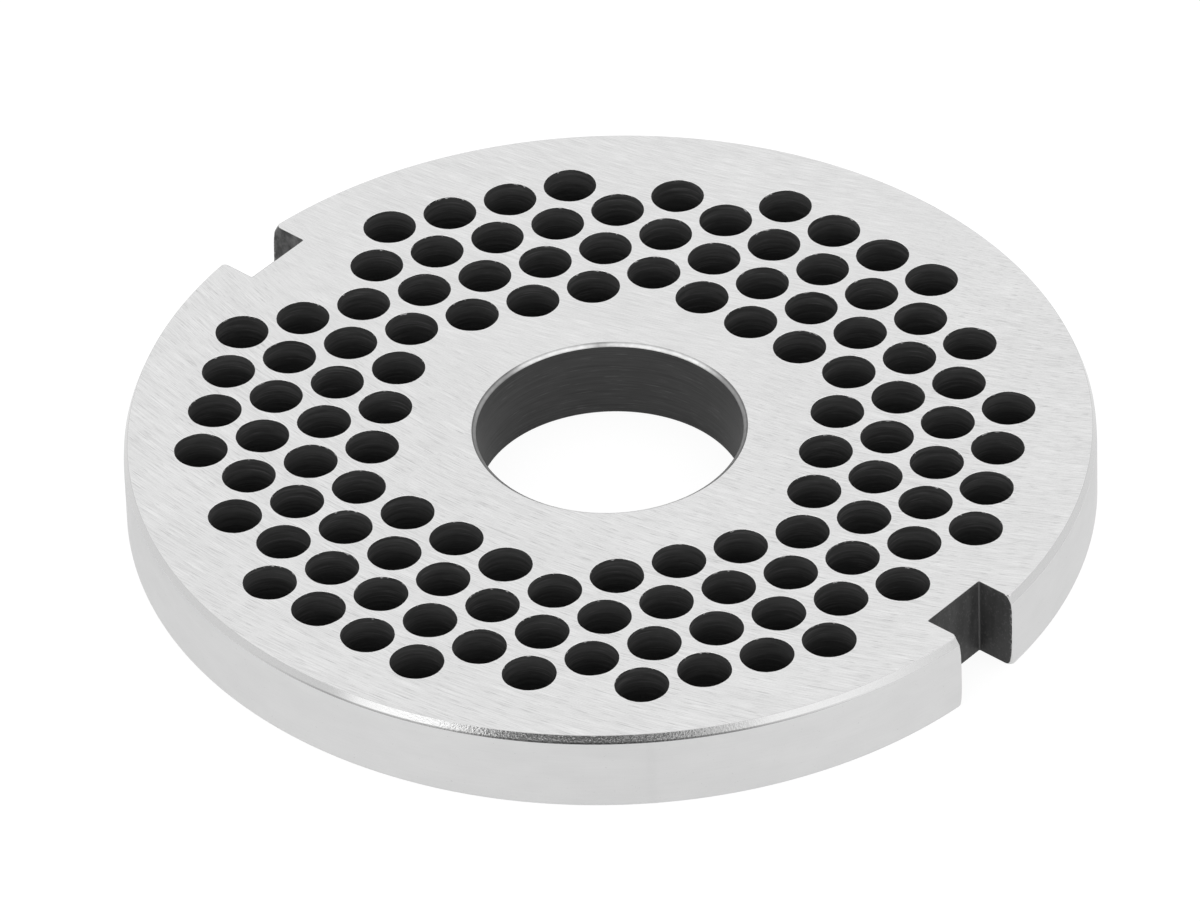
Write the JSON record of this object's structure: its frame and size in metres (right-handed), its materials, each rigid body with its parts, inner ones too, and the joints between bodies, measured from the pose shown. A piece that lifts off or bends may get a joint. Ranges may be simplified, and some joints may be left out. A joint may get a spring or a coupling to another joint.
{
  "type": "meat grinder plate",
  "caption": "Flat round steel plate with a plain centre bore, a close triangular field of small drilled holes and opposite key notches in its chamfered rim.",
  "frame": {"origin": "on the axis of the bore, in the lower flat face that the plate lies on", "axes": "+Z along the bore and out of the cutting face; the notches in the rim lie on +X and -X"},
  "size_m": [0.0818, 0.082, 0.0074],
  "materials": {
    "steel": "flat faces ground to a fine grain, satin rim, dark bored and drilled walls"
  },
  "bodies": {
    "root": {"grinder_plate": "steel"}
  },
  "joints": []
}
